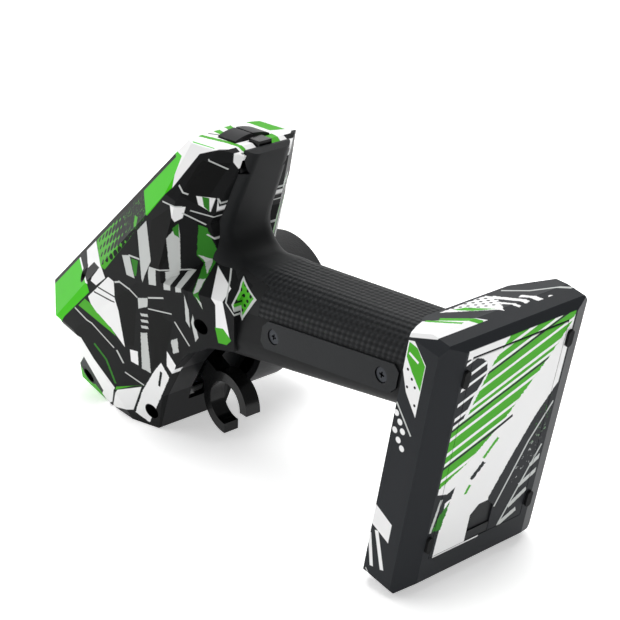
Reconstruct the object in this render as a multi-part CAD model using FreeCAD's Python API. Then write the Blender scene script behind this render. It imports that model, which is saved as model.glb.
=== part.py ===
"""Pistol-grip radio transmitter for a model car, as an assembly of separate parts.

Every part is drawn upright, in millimetres: +X forward (the trigger side), +Y left, +Z up, with the origin on
the middle of the foot's underside.  lay_down() then turns the whole set onto its trigger side, the way the
transmitter is put down on a table: +Z up, the foot towards +X, the steering wheel towards +Y, and the origin
under the middle of the bounding box.
"""
import FreeCAD
import Part
import math
import os

V = FreeCAD.Vector

# ---- driving dimensions ----------------------------------------------------------------------------------
# clearances
SEAT = 0.1            # between fixed parts that fit into each other
RUN = 0.05            # radial clearance of a shaft in its bore
MOVE = 0.35           # round a moving part in its window
BIG = 400.0           # longer than anything here, for cutting tools

# foot
FOOT_FRONT = 40.0     # x of the front wall
FOOT_REAR = -37.0     # x of the rear wall
FOOT_HALF_W = 26.0    # y of the side walls
COVER_H = 6.0         # height of the bottom cover's side band
FLAT_HALF_W = 19.4    # half width of the flat underside
BEVEL_H = 2.7         # height of the long side bevels
TRAY_SIDE_H = 12.7    # top of the foot's side walls
TRAY_TOP_H = 19.0     # top of the foot's roof
ROOF_HALF_W = 14.5    # half width of the flat part of the roof
FOOT_WALL = 2.0
FRONT_CORNER = 3.0    # bevel of the two front corners
REAR_CORNER = 2.5

# cells and their door
CELL_R = 5.25
CELL_L = 44.5
CELL_PITCH = 11.0
CELL_COUNT = 3
CELL_X = -3.5         # middle of the cells
DOOR_T = 1.8
DOOR_REAR = -33.0
DOOR_FRONT = 28.3
LATCH_L = 11.2        # latch tab, measured from the door's front edge
LATCH_HALF_W = 4.2
CONTACT_T = 0.4
FOOT_PAD_L, FOOT_PAD_W, FOOT_PAD_H = 5.0, 2.0, 0.8
PAD_X, PAD_SPAN, PAD_Y = -2.1, 50.6, 18.2
SEAM_Y = 10.0         # the seam screws stand inside the battery bay, out of sight under the door
POST_R, SEAM_SCREW_R, SEAM_HEAD_R = 1.8, 0.75, 1.4

# grip: a rounded bar that leans forward and thickens upwards
GRIP_LOW_Z, GRIP_TOP_Z = 15.6, 90.0
GRIP_MID_Z = 28.0     # height at which the next two values hold
GRIP_X, GRIP_HALF_X = -10.4, 12.4
GRIP_LEAN = 0.3106    # forward shift per millimetre of height
GRIP_SWELL = 0.0426   # growth of the half thickness per millimetre of height
GRIP_HALF_W = 12.6
GRIP_CORNER_R = 8.6
GRIP_WALL = 2.0
COVER_T = 1.5         # thickness of the textured grip cover
COVER_TOP_Z, COVER_LOW_Z = 84.0, 20.0
NECK_LOW_Z, NECK_BEND_Z = 82.0, 92.0    # the neck leaves the grip's back here, and starts to bend here
NECK_R = 7.0                            # radius of the bend between thumb and forefinger
NECK_END = math.radians(192.5)          # direction of the tail's underside
COVER_EDGE = -2.9     # the cover's front edge, from the grip's middle line
PLATE_OFFSET = 1.7    # side plates' middle line, from the grip's middle line
PLATE_HALF_W, PLATE_LOW_Z, PLATE_TOP_Z = 4.4, 25.0, 76.0
PLATE_T, PLATE_PROUD = 2.2, 0.45
PLATE_SCREW_Z = (30.7, 71.3)
SCREW_HEAD_R, SCREW_HEAD_T = 2.0, 1.2

# head: a faceted wedge.  The outline is given clockwise from the rear top, as (x, z).
HEAD_OUTLINE = [(-33.4, 119.6), (42.6, 175.6), (43.6, 153.4), (55.5, 149.0), (67.0, 152.0), (68.3, 137.0),
                (64.8, 121.0), (63.2, 114.3), (50.0, 112.6), (38.0, 108.2), (28.5, 102.6), (22.0, 95.0),
                (18.5, 86.0), (-4.0, 86.0), (-3.0, 97.0), (-6.0, 101.6), (-14.0, 103.0), (-36.6, 97.5),
                (-37.6, 101.0)]
HEAD_MAX_HALF_W = 25.0
HEAD_WALL = 2.0
PANEL_DROP = 113.3    # distance of the control panel's plane from the origin
PANEL_TILT = math.radians(36.4)
PANEL_HALF_W = 12.2
PANEL_REAR_X, PANEL_FRONT_X = -28.0, 39.5   # ends of the panel plate
PANEL_T = 2.0
CROWN_R = 34.0        # radius of the arched top
CROWN_H = 2.6         # height of the arch over the panel's plane
TAIL_PLATE_T = 1.8
SHELL_SCREWS = [(15.8, 97.6), (58.0, 116.8), (62.5, 146.5)]
BAND_SCREW = (25.0, 148.5)
HOOD_T, HOOD_HALF_W = 2.2, 12.0

# steering
WHEEL_X, WHEEL_Z = 35.5, 123.2
WHEEL_R, WHEEL_W, WHEEL_RIM_R = 20.0, 16.0, 17.6
WHEEL_INNER_Y = -26.6
BOSS_R, BOSS_Y = 22.6, -25.4
STEER_SHAFT_R = 3.0
HUB_R = 6.0
SPOKES = 5

# trigger
PIVOT_X, PIVOT_Z = 37.0, 121.0
LOOP_X, LOOP_Z = 47.4, 97.9
LOOP_R, LOOP_BORE_R, LOOP_HALF_W = 10.0, 6.9, 2.6
MOUTH_FROM, MOUTH_TO = -98.0, -9.0   # the loop's open arc, in degrees from forward
TRIGGER_SHAFT_R = 2.0
ARM_HALF_W = 2.6
SLOT_X0, SLOT_X1 = 27.5, 55.0

# controls
KNOB_R, KNOB_H = 4.4, 2.9
ROCKER_HALF_W, ROCKER_HALF_H, ROCKER_Z = 6.0, 3.7, 107.9
ROCKER_TOP, ROCKER_CROWN_R = 1.6, 16.0
ROCKER_AXLE_R, ROCKER_AXLE_Z = 0.7, -3.1   # the second is its depth below the tail face
BUTTON_HALF, BUTTON_Z = 2.2, 101.0

nodes = {}


# ---- small helpers ---------------------------------------------------------------------------------------
def box(x0, x1, y0, y1, z0, z1):
    return Part.makeBox(x1 - x0, y1 - y0, z1 - z0, V(x0, y0, z0))


def rod(radius, start, end):
    """Round bar from one point to another."""
    way = V(*end) - V(*start)
    return Part.makeCylinder(radius, way.Length, V(*start), way)


def ring(outer, inner, start, end):
    return rod(outer, start, end).cut(rod(inner, start, end))


def prism_xz(points, half_w):
    """Outline in the XZ plane, extruded from -half_w to +half_w across."""
    corners = [V(x, -half_w, z) for x, z in points]
    return Part.Face(Part.makePolygon(corners + corners[:1])).extrude(V(0, 2 * half_w, 0))


def prism_yz(points, x0, x1):
    """Outline in the YZ plane, extruded from x0 to x1."""
    corners = [V(x0, y, z) for y, z in points]
    return Part.Face(Part.makePolygon(corners + corners[:1])).extrude(V(x1 - x0, 0, 0))


def prism_xy(points, z0, z1):
    corners = [V(x, y, z0) for x, y in points]
    return Part.Face(Part.makePolygon(corners + corners[:1])).extrude(V(0, 0, z1 - z0))


def beyond(point, normal):
    """A very large block that fills everything on the side of a plane that its normal points to."""
    block = Part.makeBox(BIG, BIG, BIG, V(-BIG / 2, -BIG / 2, 0))
    block.Placement = FreeCAD.Placement(V(*point), FreeCAD.Rotation(V(0, 0, 1), V(*normal)))
    return block


def trim(shape, planes):
    for point, normal in planes:
        shape = shape.cut(beyond(point, normal))
    return shape


def mirrored(points):
    """A half outline in (y, z), closed by its mirror image."""
    return points + [(-y, z) for y, z in reversed(points)]


def inset(points, amount):
    """Moves each side of a clockwise outline inwards by the same amount."""
    count = len(points)
    lines = []
    for i in range(count):
        (x0, z0), (x1, z1) = points[i], points[(i + 1) % count]
        length = math.hypot(x1 - x0, z1 - z0)
        nx, nz = (z1 - z0) / length, -(x1 - x0) / length
        lines.append((nx, nz, nx * x0 + nz * z0 + amount))
    moved = []
    for i in range(count):
        a, b = lines[i - 1], lines[i]
        det = a[0] * b[1] - a[1] * b[0]
        moved.append(((a[2] * b[1] - a[1] * b[2]) / det, (a[0] * b[2] - a[2] * b[0]) / det))
    return moved


def only_solid(shape):
    """The largest solid of a result, so that a part is one closed body."""
    clean = shape.removeSplitter()
    return max(clean.Solids, key=lambda solid: solid.Volume)


def add(name, shape):
    nodes[name] = shape


# ---- shared shapes ---------------------------------------------------------------------------------------
def grip_middle(z):
    return GRIP_X + GRIP_LEAN * (z - GRIP_MID_Z)


def grip_half(z):
    return GRIP_HALF_X + GRIP_SWELL * (z - GRIP_MID_Z)


def grip_section(z, less):
    """Rounded rectangle: the grip's level section at a height, with its wall taken in by an amount."""
    hx, hy, r = grip_half(z) - less, GRIP_HALF_W - less, GRIP_CORNER_R - less
    cx, s = grip_middle(z), (GRIP_CORNER_R - less) * (1 - math.sqrt(0.5))
    edges = []
    quarter = [(1, 1), (-1, 1), (-1, -1), (1, -1)]
    for i, (sx, sy) in enumerate(quarter):
        on_x = V(cx + sx * hx, sy * (hy - r), z)
        on_y = V(cx + sx * (hx - r), sy * hy, z)
        between = V(cx + sx * (hx - s), sy * (hy - s), z)
        first, last = (on_x, on_y) if i % 2 == 0 else (on_y, on_x)
        edges.append(Part.Arc(first, between, last).toShape())
        nx, ny = quarter[(i + 1) % 4]
        following = V(cx + nx * (hx - r), ny * hy, z) if i % 2 == 0 else V(cx + nx * hx, ny * (hy - r), z)
        edges.append(Part.LineSegment(last, following).toShape())
    return Part.Wire(edges)


def grip_bar(less, low=GRIP_LOW_Z, top=GRIP_TOP_Z):
    return Part.makeLoft([grip_section(low, less), grip_section(top, less)], True, True)


# the facets of the head's left side, each as y = start + slope_x * x + slope_z * z
PANEL_NX, PANEL_NZ = -math.sin(PANEL_TILT), math.cos(PANEL_TILT)
SIDE_FACETS = [
    (13.0 + 0.778 * PANEL_DROP, -0.778 * PANEL_NX, -0.778 * PANEL_NZ),   # bevel beside the control panel
    (21.5, 0.05, 0.0),                                                   # upper side
    (14.0 - 0.286 * 67.3, -0.286 * 0.532, 0.286 * 0.847),                # lower side, drawn in to the trigger
    (24.0 + 0.385 * 42.0, -0.385, 0.0),                                  # side of the nose
    (14.0 + 0.38 * 37.0, 0.38, 0.0),                                     # side of the tail
]
TAIL_FACET = (9.5 - 1.2 * 100.0 - 0.1 * 20.0, -0.1, 1.2)   # underside of the tail, beside the neck
NECK_FACET = (9.0 + 4.0, 1.0, 0.0)                         # side above the back of the grip


def head_planes(facets, less):
    """Cutting planes of facets and of their mirror images."""
    planes = []
    for start, slope_x, slope_z in facets:
        normal = V(-slope_x, 1.0, -slope_z)
        shift = less * normal.Length
        planes.append(((0, start - shift, 0), (-slope_x, 1.0, -slope_z)))
        planes.append(((0, shift - start, 0), (-slope_x, -1.0, -slope_z)))
    return planes


def head_block(less):
    outline = inset(HEAD_OUTLINE, less) if less else HEAD_OUTLINE
    block = trim(prism_xz(outline, HEAD_MAX_HALF_W), head_planes(SIDE_FACETS, less))
    tail = trim(block, head_planes([TAIL_FACET], less))
    front = trim(block, head_planes([NECK_FACET], less))
    return tail.fuse(front).common(panel_frame(crown_bar(less)))


def crown_bar(less):
    """Round bar along the panel's slope whose top is the head's arched top."""
    radius, low = CROWN_R - less, CROWN_H - CROWN_R
    return rod(radius, (-BIG / 2, 0, low), (BIG / 2, 0, low)).fuse(
        box(-BIG / 2, BIG / 2, -HEAD_MAX_HALF_W, HEAD_MAX_HALF_W, -BIG / 2, low + radius - 4.0))


def panel_frame(shape):
    """Places a shape drawn with x along the panel's slope, y across and z out of the panel."""
    origin = V(-PANEL_DROP * math.sin(PANEL_TILT), 0, PANEL_DROP * math.cos(PANEL_TILT))
    placed = shape.copy()
    placed.Placement = FreeCAD.Placement(origin, FreeCAD.Rotation(V(0, 1, 0), -math.degrees(PANEL_TILT)))
    return placed


# ---- foot ------------------------------------------------------------------------------------------------
def foot_planes(less):
    """The foot's leaning end faces and bevelled corners."""
    c, f, r, w = less * math.sqrt(2), FOOT_FRONT - less, FOOT_REAR + less, FOOT_HALF_W - less
    planes = [((r, 0, 8.0), (-11, 0, 4)), ((f, 0, TRAY_SIDE_H + 1.5), (5.5, 0, 9))]
    for side in (1, -1):
        planes.append(((f - FRONT_CORNER + c * 0.3, side * w, 0), (1, side, 0)))
        planes.append(((r + REAR_CORNER - c * 0.3, side * w, 0), (-1, side, 0)))
    return planes


def tray_block(less):
    half = [(FOOT_HALF_W - less, COVER_H), (FOOT_HALF_W - less, TRAY_SIDE_H - less * 0.5),
            (ROOF_HALF_W - less * 0.5, TRAY_TOP_H - less)]
    return trim(prism_yz(mirrored(half), FOOT_REAR + less, FOOT_FRONT - less), foot_planes(less))


def cover_block():
    half = [(FLAT_HALF_W, 0.0), (FOOT_HALF_W, BEVEL_H), (FOOT_HALF_W, COVER_H)]
    ends = [((FOOT_FRONT, 0, 4.0), (1, 0, -1.1)), ((FOOT_REAR, 0, 2.2), (-1.2, 0, -1))]
    return trim(prism_yz(mirrored(half), FOOT_REAR, FOOT_FRONT), foot_planes(0) + ends)


DOOR_HALF_W = CELL_PITCH * (CELL_COUNT - 1) / 2 + CELL_R + 0.45
CELL_Z = DOOR_T + 0.6 + CELL_R
CELL_Y = [CELL_PITCH * (i - (CELL_COUNT - 1) / 2) for i in range(CELL_COUNT)]
CRADLE_X0, CRADLE_X1 = CELL_X - CELL_L / 2 - 3.4, CELL_X + CELL_L / 2 + 3.4
CRADLE_TOP = CELL_Z + CELL_R + 1.6
SEAM_SCREWS = [(x, y) for x in (DOOR_REAR + 1.9, DOOR_FRONT - 1.8) for y in (-SEAM_Y, SEAM_Y)]


def make_foot():
    tray = tray_block(0).cut(tray_block(FOOT_WALL))
    grip_hole = grip_bar(-SEAT, GRIP_LOW_Z - 1, GRIP_TOP_Z)
    tray = tray.cut(grip_hole)
    for x, y in SEAM_SCREWS:
        tray = tray.fuse(rod(POST_R, (x, y, COVER_H), (x, y, TRAY_TOP_H)).common(tray_block(0.5)))
        tray = tray.cut(rod(SEAM_SCREW_R + RUN, (x, y, COVER_H - 1), (x, y, TRAY_SIDE_H)))
    add("base_tray", only_solid(tray))

    cover = cover_block()
    floor = DOOR_T + 0.2
    inner_w = FOOT_HALF_W - FOOT_WALL
    inner_half = [(FLAT_HALF_W - 0.6, floor), (inner_w, floor + 2.1), (inner_w, COVER_H)]
    inner = prism_yz(mirrored(inner_half), FOOT_REAR + FOOT_WALL, FOOT_FRONT - FOOT_WALL)
    inner = trim(inner, foot_planes(FOOT_WALL) + [((FOOT_FRONT - FOOT_WALL, 0, 5.4), (1, 0, -1.1))])
    cover = cover.cut(inner)
    door_w = DOOR_HALF_W + 0.2
    cover = cover.cut(box(DOOR_REAR - 0.2, DOOR_FRONT + 0.2, -door_w, door_w, -1, COVER_H))
    screws = []
    for x, y in SEAM_SCREWS:
        ends = (FOOT_REAR + 1.5, CRADLE_X0 - 0.25) if x < 0 else (x - POST_R, FOOT_FRONT - 6.0)
        lug = box(*ends, y - POST_R - 0.5, y + POST_R + 0.5, floor, COVER_H)
        cover = cover.fuse(lug).cut(rod(SEAM_SCREW_R + 0.15, (x, y, -1), (x, y, COVER_H + 1)))
        cover = cover.cut(rod(SEAM_HEAD_R + 0.15, (x, y, floor - 1), (x, y, floor + 1.4)))
        shank = rod(SEAM_SCREW_R, (x, y, floor + 1.4), (x, y, TRAY_SIDE_H - 0.5))
        screws.append(shank.fuse(rod(SEAM_HEAD_R, (x, y, floor + 0.3), (x, y, floor + 1.4))))
    add("base_cover", only_solid(cover))
    add("base_screws", Part.makeCompound(screws))

    pads = []
    for x in (PAD_X - PAD_SPAN / 2, PAD_X + PAD_SPAN / 2):
        for side in (-1, 1):
            mid = box(x - FOOT_PAD_L / 2 + 1, x + FOOT_PAD_L / 2 - 1, side * PAD_Y - 1, side * PAD_Y + 1,
                      -FOOT_PAD_H, 0)
            for end in (-1, 1):
                tip = (x + end * (FOOT_PAD_L / 2 - 1), side * PAD_Y)
                mid = mid.fuse(rod(FOOT_PAD_W / 2, (*tip, -FOOT_PAD_H), (*tip, 0)))
            pads.append(only_solid(mid))
    add("foot_pads", Part.makeCompound(pads))


def make_battery():
    r = DOOR_T / 2
    door = box(DOOR_REAR + r, DOOR_FRONT, -DOOR_HALF_W, DOOR_HALF_W, 0, DOOR_T)
    door = door.fuse(rod(r, (DOOR_REAR + r, -DOOR_HALF_W, r), (DOOR_REAR + r, DOOR_HALF_W, r)))
    x0, w = DOOR_FRONT - LATCH_L, LATCH_HALF_W
    latch_outline = [(DOOR_FRONT, -w), (DOOR_FRONT, w), (x0 + 2.6, w), (x0, 1.6), (x0, -1.6), (x0 + 2.6, -w)]
    wide = [(x + (SEAT if x > x0 + 3 else -SEAT), y + math.copysign(SEAT, y)) for x, y in latch_outline]
    door = door.cut(prism_xy(wide, 0.5, DOOR_T + 1)).cut(prism_xy(latch_outline, -1, 0.5))
    add("battery_door", only_solid(door))
    latch = prism_xy(latch_outline, 0.5, DOOR_T)
    latch = latch.fuse(box(DOOR_FRONT - 3.0, DOOR_FRONT, -w, w, 0.1, 0.5))
    add("door_latch", only_solid(latch))

    x0, x1 = CRADLE_X0, CRADLE_X1
    w = DOOR_HALF_W + 0.2 + 1.2
    floor = DOOR_T + 0.2 + SEAT
    cradle = box(x0, x1, -w, w, floor, CRADLE_TOP)
    cradle = cradle.cut(box(x0 + 1.2, x1 - 1.2, -w + 1.2, w - 1.2, 0, CRADLE_TOP - 1.2))
    add("battery_cradle", only_solid(cradle))
    contacts = []
    for wall_x, inward in ((x0 + 1.2, 1), (x1 - 1.2, -1)):
        for y in CELL_Y:
            plate = box(min(wall_x, wall_x + inward * CONTACT_T), max(wall_x, wall_x + inward * CONTACT_T),
                        y - 4, y + 4, CELL_Z - 4, CELL_Z + 4)
            cone = Part.makeCone(3.2, 1.6, 1.5, V(wall_x + inward * CONTACT_T, y, CELL_Z), V(inward, 0, 0))
            contacts.append(only_solid(plate.fuse(cone)))
    add("battery_contacts", Part.makeCompound(contacts))
    for i, y in enumerate(CELL_Y):
        way = 1 if i % 2 == 0 else -1
        a, b = CELL_X - way * CELL_L / 2, CELL_X + way * CELL_L / 2
        cell = rod(CELL_R, (a, y, CELL_Z), (b - way * 0.9, y, CELL_Z))
        add("cell_%d" % (i + 1), only_solid(cell.fuse(rod(1.9, (b - way * 1.0, y, CELL_Z), (b, y, CELL_Z)))))


# ---- grip and head ---------------------------------------------------------------------------------------
def plate_outline(grow):
    """Side plate seen from the left: a leaning strip with cut corners, as (x, z)."""
    low, top, w, cut = PLATE_LOW_Z - grow, PLATE_TOP_Z + grow, PLATE_HALF_W + grow, 2.0
    points = []
    for z, side in ((low, -1), (low + cut, -1), (top - cut, -1), (top, -1),
                    (top, 1), (top - cut, 1), (low + cut, 1), (low, 1)):
        half = w if z in (low + cut, top - cut) else w - cut
        points.append((grip_middle(z) + PLATE_OFFSET + side * half, z))
    return points


def plate_block(side, grow, depth):
    """The plate as a block standing on the grip's flat side; side is +1 for left."""
    outer = GRIP_HALF_W + PLATE_PROUD
    corners = [V(x, side * outer, z) for x, z in plate_outline(grow)]
    return Part.Face(Part.makePolygon(corners + corners[:1])).extrude(V(0, -side * depth, 0))


def neck_section(at, inward, half_w, deep, r):
    """Rounded outline across the neck: its outer side is at a point, its depth runs inwards."""
    def place(y, d):
        return V(at[0] + inward[0] * d, y, at[1] + inward[1] * d)
    edges = []
    bend = r * (1 - math.sqrt(0.5))
    corners = [place(half_w, deep), place(half_w, r), place(half_w - r, 0), place(r - half_w, 0),
               place(-half_w, r), place(-half_w, deep)]
    for i in (0, 2, 4):
        edges.append(Part.LineSegment(corners[i], corners[i + 1]).toShape())
        if i < 4:
            side = 1 if i == 0 else -1
            between = place(side * (half_w - bend), bend)
            edges.append(Part.Arc(corners[i + 1], between, corners[i + 2]).toShape())
    edges.append(Part.LineSegment(corners[5], corners[0]).toShape())
    return Part.Wire(edges)


def neck():
    """Rest for the web of the hand: from the back of the grip it curves into the underside of the tail."""
    rise = math.atan2(1.0, GRIP_LEAN - GRIP_SWELL)
    back_x = grip_middle(NECK_LOW_Z) - grip_half(NECK_LOW_Z)
    run = NECK_BEND_Z - NECK_LOW_Z
    start = (back_x, NECK_LOW_Z)
    bend = (back_x + run / math.tan(rise), NECK_BEND_Z)
    centre = (bend[0] - NECK_R * math.sin(rise), bend[1] + NECK_R * math.cos(rise))
    sections = [(start, rise, GRIP_HALF_W, 12.0, GRIP_CORNER_R), (bend, rise, 11.4, 10.0, 6.5)]
    for share in (0.33, 0.66, 1.0):
        way = rise + share * (NECK_END - rise)
        at = (centre[0] + NECK_R * math.sin(way), centre[1] - NECK_R * math.cos(way))
        sections.append((at, way, 11.4 - 1.8 * share, 10.0 - 2.0 * share, 6.5 - 2.5 * share))
    last = sections[-1][0]
    length = (last[0] - HEAD_OUTLINE[-1][0]) / -math.cos(NECK_END)
    for share, half_w in ((0.5, 8.8), (1.0, 7.8)):
        at = (last[0] + share * length * math.cos(NECK_END), last[1] + share * length * math.sin(NECK_END))
        sections.append((at, NECK_END, half_w, 8.0, 3.6))
    wires = []
    for at, way, half_w, deep, r in sections:
        wires.append(neck_section(at, (math.sin(way), -math.cos(way)), half_w, deep, r))
    origin, _, out = tail_plane()
    return Part.makeLoft(wires, True, False).cut(beyond(tuple(origin - out * 0.3), tuple(out)))


def cover_zone():
    """Everything behind the grip cover's front edge, between its two ends."""
    z0, z1 = COVER_LOW_Z, COVER_TOP_Z
    front = [(grip_middle(z) + COVER_EDGE, z) for z in (z0, z1)]
    return prism_xz([(-60.0, z0), (-60.0, z1), front[1], front[0]], 30.0)


def make_housing():
    outer = head_block(0).fuse(grip_bar(0))
    hollow = head_block(HEAD_WALL).fuse(grip_bar(GRIP_WALL + COVER_T, GRIP_LOW_Z - 1, GRIP_TOP_Z + 2))
    rear_skin = grip_bar(-1.0, COVER_LOW_Z - 5, COVER_TOP_Z + 20).cut(
        grip_bar(COVER_T + SEAT, COVER_LOW_Z - 5, COVER_TOP_Z + 20)).common(cover_zone())
    shell = outer.cut(hollow).cut(rear_skin).cut(neck_seat())
    for side in (1, -1):
        shell = shell.cut(plate_block(side, SEAT, PLATE_T + PLATE_PROUD + SEAT))
        for z in PLATE_SCREW_Z:
            x = grip_middle(z) + PLATE_OFFSET
            shell = shell.cut(rod(1.0, (x, side * (GRIP_HALF_W - 6), z), (x, side * GRIP_HALF_W, z)))
    shell = shell.cut(hood_block(SEAT)).cut(tail_plate(SEAT)).cut(panel_pocket()).cut(switch_pocket())
    shell = shell.cut(rod(STEER_SHAFT_R + 1.0, (WHEEL_X, -30, WHEEL_Z), (WHEEL_X, -8, WHEEL_Z)))
    shell = shell.cut(box(SLOT_X0, SLOT_X1, -ARM_HALF_W - 0.8, ARM_HALF_W + 0.8, 90, PIVOT_Z - 6))
    left = only_solid(shell.cut(beyond((0, 0, 0), (0, -1, 0))))
    right = only_solid(shell.cut(beyond((0, 0, 0), (0, 1, 0))))
    screws = []
    for x, z in SHELL_SCREWS:
        y = side_of_head(x, z)
        left = left.fuse(rod(3.6, (x, 0, z), (x, y - 0.6, z)).common(head_block(0.3)))
        right = right.fuse(rod(3.0, (x, 0, z), (x, -y + 0.6, z)).common(head_block(0.3)))
        left = left.cut(rod(2.4, (x, y - 3.2, z), (x, y + 5, z))).cut(rod(1.25, (x, -1, z), (x, y, z)))
        right = right.cut(rod(1.0, (x, 1, z), (x, -8, z)))
        screws.append(rod(0.95, (x, -7, z), (x, y - 5.2, z)).fuse(rod(2.1, (x, y - 5.2, z), (x, y - 3.5, z))))
    left = left.cut(rod(2.2, (BAND_SCREW[0], 19.0, BAND_SCREW[1]), (BAND_SCREW[0], 40, BAND_SCREW[1])))
    for x, z in SHELL_SCREWS:
        y = side_of_head(x, z)
        left = left.cut(rod(2.4, (x, y - 5.2, z), (x, y + 5, z)))
    add("left_shell", only_solid(left))
    add("right_shell", only_solid(right))
    add("shell_screws", Part.makeCompound([only_solid(s) for s in screws]))

    low, top = COVER_LOW_Z - 5, COVER_TOP_Z + 2
    cover = grip_bar(0, low, top).cut(grip_bar(COVER_T, low, top)).common(cover_zone())
    for side in (1, -1):
        cover = cover.cut(plate_block(side, SEAT, PLATE_T + PLATE_PROUD + SEAT))
    cover = cover.fuse(neck().cut(head_block(0)).cut(grip_bar(COVER_T, GRIP_LOW_Z, GRIP_TOP_Z)))
    cover = cover.cut(tail_plate(SEAT)).cut(switch_pocket())
    add("grip_cover", only_solid(cover.cut(nodes["left_shell"]).cut(nodes["right_shell"])))


def neck_seat():
    return neck().cut(head_block(0)).cut(grip_bar(COVER_T + SEAT, GRIP_LOW_Z, GRIP_TOP_Z))


def side_of_head(x, z):
    """y of the left side at a point in front of the grip."""
    return min(start + slope_x * x + slope_z * z for start, slope_x, slope_z in SIDE_FACETS)


def make_side_plates():
    screws = []
    for side, name in ((1, "left"), (-1, "right")):
        plate = plate_block(side, 0, PLATE_T + PLATE_PROUD)
        for z in PLATE_SCREW_Z:
            x = grip_middle(z) + PLATE_OFFSET
            out = side * (GRIP_HALF_W + PLATE_PROUD)
            seat_y = out - side * (SCREW_HEAD_T + 0.3)
            y0, y1 = sorted((out - side * 1.0, out))
            plate = plate.cut(rod(SCREW_HEAD_R + 0.2, (x, seat_y, z), (x, out + side, z)))
            plate = plate.cut(rod(1.2, (x, out - side * 5, z), (x, out, z)))
            head = rod(SCREW_HEAD_R, (x, seat_y, z), (x, out - side * 0.3, z))
            slot = box(x - 0.9, x + 0.9, y0, y1, z - 0.25, z + 0.25)
            cross = box(x - 0.25, x + 0.25, y0, y1, z - 0.9, z + 0.9)
            shank = rod(0.95, (x, out - side * 6.2, z), (x, seat_y, z))
            screws.append(only_solid(head.cut(slot).cut(cross).fuse(shank)))
        add("side_plate_" + name, only_solid(plate))
    add("plate_screws", Part.makeCompound(screws))


# ---- underside of the head, tail face and control panel --------------------------------------------------
def hood_block(grow):
    """Curved dark lining of the finger opening: the head's lower outline, thickened inwards."""
    first, last = 6, 11   # corners of the head's outline from the lower front to the front of the grip
    outer = HEAD_OUTLINE[first:last + 1]
    inner = inset(HEAD_OUTLINE, HOOD_T + grow)[first:last + 1]
    half = HOOD_HALF_W + grow
    return prism_xz(outer + inner[::-1], half).common(head_block(0))


def make_hood():
    hood = hood_block(0).cut(box(SLOT_X0, SLOT_X1, -ARM_HALF_W - 0.8, ARM_HALF_W + 0.8, 90, PIVOT_Z))
    hood = hood.cut(grip_bar(0, GRIP_LOW_Z, GRIP_TOP_Z)).cut(nodes["left_shell"]).cut(nodes["right_shell"])
    add("trigger_hood", only_solid(hood))


def tail_plane():
    a, b = HEAD_OUTLINE[0], HEAD_OUTLINE[-1]
    way = V(a[0] - b[0], 0, a[1] - b[1]).normalize()
    return V(b[0], 0, b[1]), way, V(-way.z, 0, way.x)


def tail_plate(grow):
    """Plate on the rear face of the tail, which carries the rocker and the square button."""
    origin, up, out = tail_plane()
    rim = 1.0 - grow
    block = head_block(rim).fuse(head_block(rim).translated(out * (rim + 0.01)))
    block = block.cut(beyond(tuple(origin - out * (TAIL_PLATE_T + grow)), tuple(out * -1)))
    return only_solid(block.cut(beyond(tuple(origin - out * 0.0), tuple(out))))


def tail_frame(shape):
    """Places a shape drawn with x to the right, y up the tail face and z out of it."""
    origin, up, out = tail_plane()
    placed = shape.copy()
    placed.Placement = FreeCAD.Placement(FreeCAD.Matrix(
        0, up.x, out.x, origin.x, -1, up.y, out.y, 0, 0, up.z, out.z, origin.z, 0, 0, 0, 1))
    return placed


def tail_height(z):
    origin, up, _ = tail_plane()
    return (z - origin.z) / up.z


def switch_pocket():
    """Room behind the thumb panel for the rocker, the button and their board."""
    low, high = tail_height(BUTTON_Z) - BUTTON_HALF - MOVE, tail_height(ROCKER_Z) + ROCKER_HALF_H + 1.8
    return tail_frame(box(-8.4, 8.4, low, high, -7.4, 0.5))


def make_tail():
    rocker_y, button_y = tail_height(ROCKER_Z), tail_height(BUTTON_Z)
    w, h, b = ROCKER_HALF_W, ROCKER_HALF_H, BUTTON_HALF
    plate = tail_plate(0)
    plate = plate.cut(tail_frame(box(-w - MOVE, w + MOVE, rocker_y - h - MOVE, rocker_y + h + MOVE, -9, 3)))
    plate = plate.cut(tail_frame(box(-b - MOVE, b + MOVE, button_y - b - MOVE, button_y + b + MOVE, -9, 3)))
    add("thumb_panel", only_solid(plate))
    crown_z = ROCKER_TOP - ROCKER_CROWN_R
    rocker = rod(ROCKER_CROWN_R, (0, rocker_y - h, crown_z), (0, rocker_y + h, crown_z))
    rocker = rocker.common(box(-w, w, rocker_y - h, rocker_y + h, 0.2 - TAIL_PLATE_T, ROCKER_TOP + 1))
    rocker = rocker.cut(box(-0.3, 0.3, rocker_y - h, rocker_y + h, ROCKER_TOP - 0.5, ROCKER_TOP + 1))
    stub = h + 0.75
    axle = rod(ROCKER_AXLE_R, (0, rocker_y - stub, ROCKER_AXLE_Z), (0, rocker_y + stub, ROCKER_AXLE_Z))
    rocker = rocker.fuse(box(-1.2, 1.2, rocker_y - h + 0.6, rocker_y + h - 0.6, -3.9, 0.5)).fuse(axle)
    add("rocker_switch", only_solid(tail_frame(rocker)))
    button = box(-b, b, button_y - b, button_y + b, -3.0, 0.9)
    add("square_button", only_solid(tail_frame(button)))
    board = box(-8.0, 8.0, button_y - 1.0, rocker_y + h + 1.4, -7.0, -5.8)
    bore = rod(ROCKER_AXLE_R + RUN, (0, rocker_y - 9, ROCKER_AXLE_Z), (0, rocker_y + 9, ROCKER_AXLE_Z))
    for end in (-1, 1):
        middle = rocker_y + end * (h + 0.45)
        board = board.fuse(box(-3.6, 3.6, middle - 0.3, middle + 0.3, -5.8, -2.0).cut(bore))
    add("switch_board", only_solid(tail_frame(board)))


def slope_at(x):
    """Distance along the panel's slope of the point above x."""
    return (x + PANEL_DROP * math.sin(PANEL_TILT)) / math.cos(PANEL_TILT)


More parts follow.
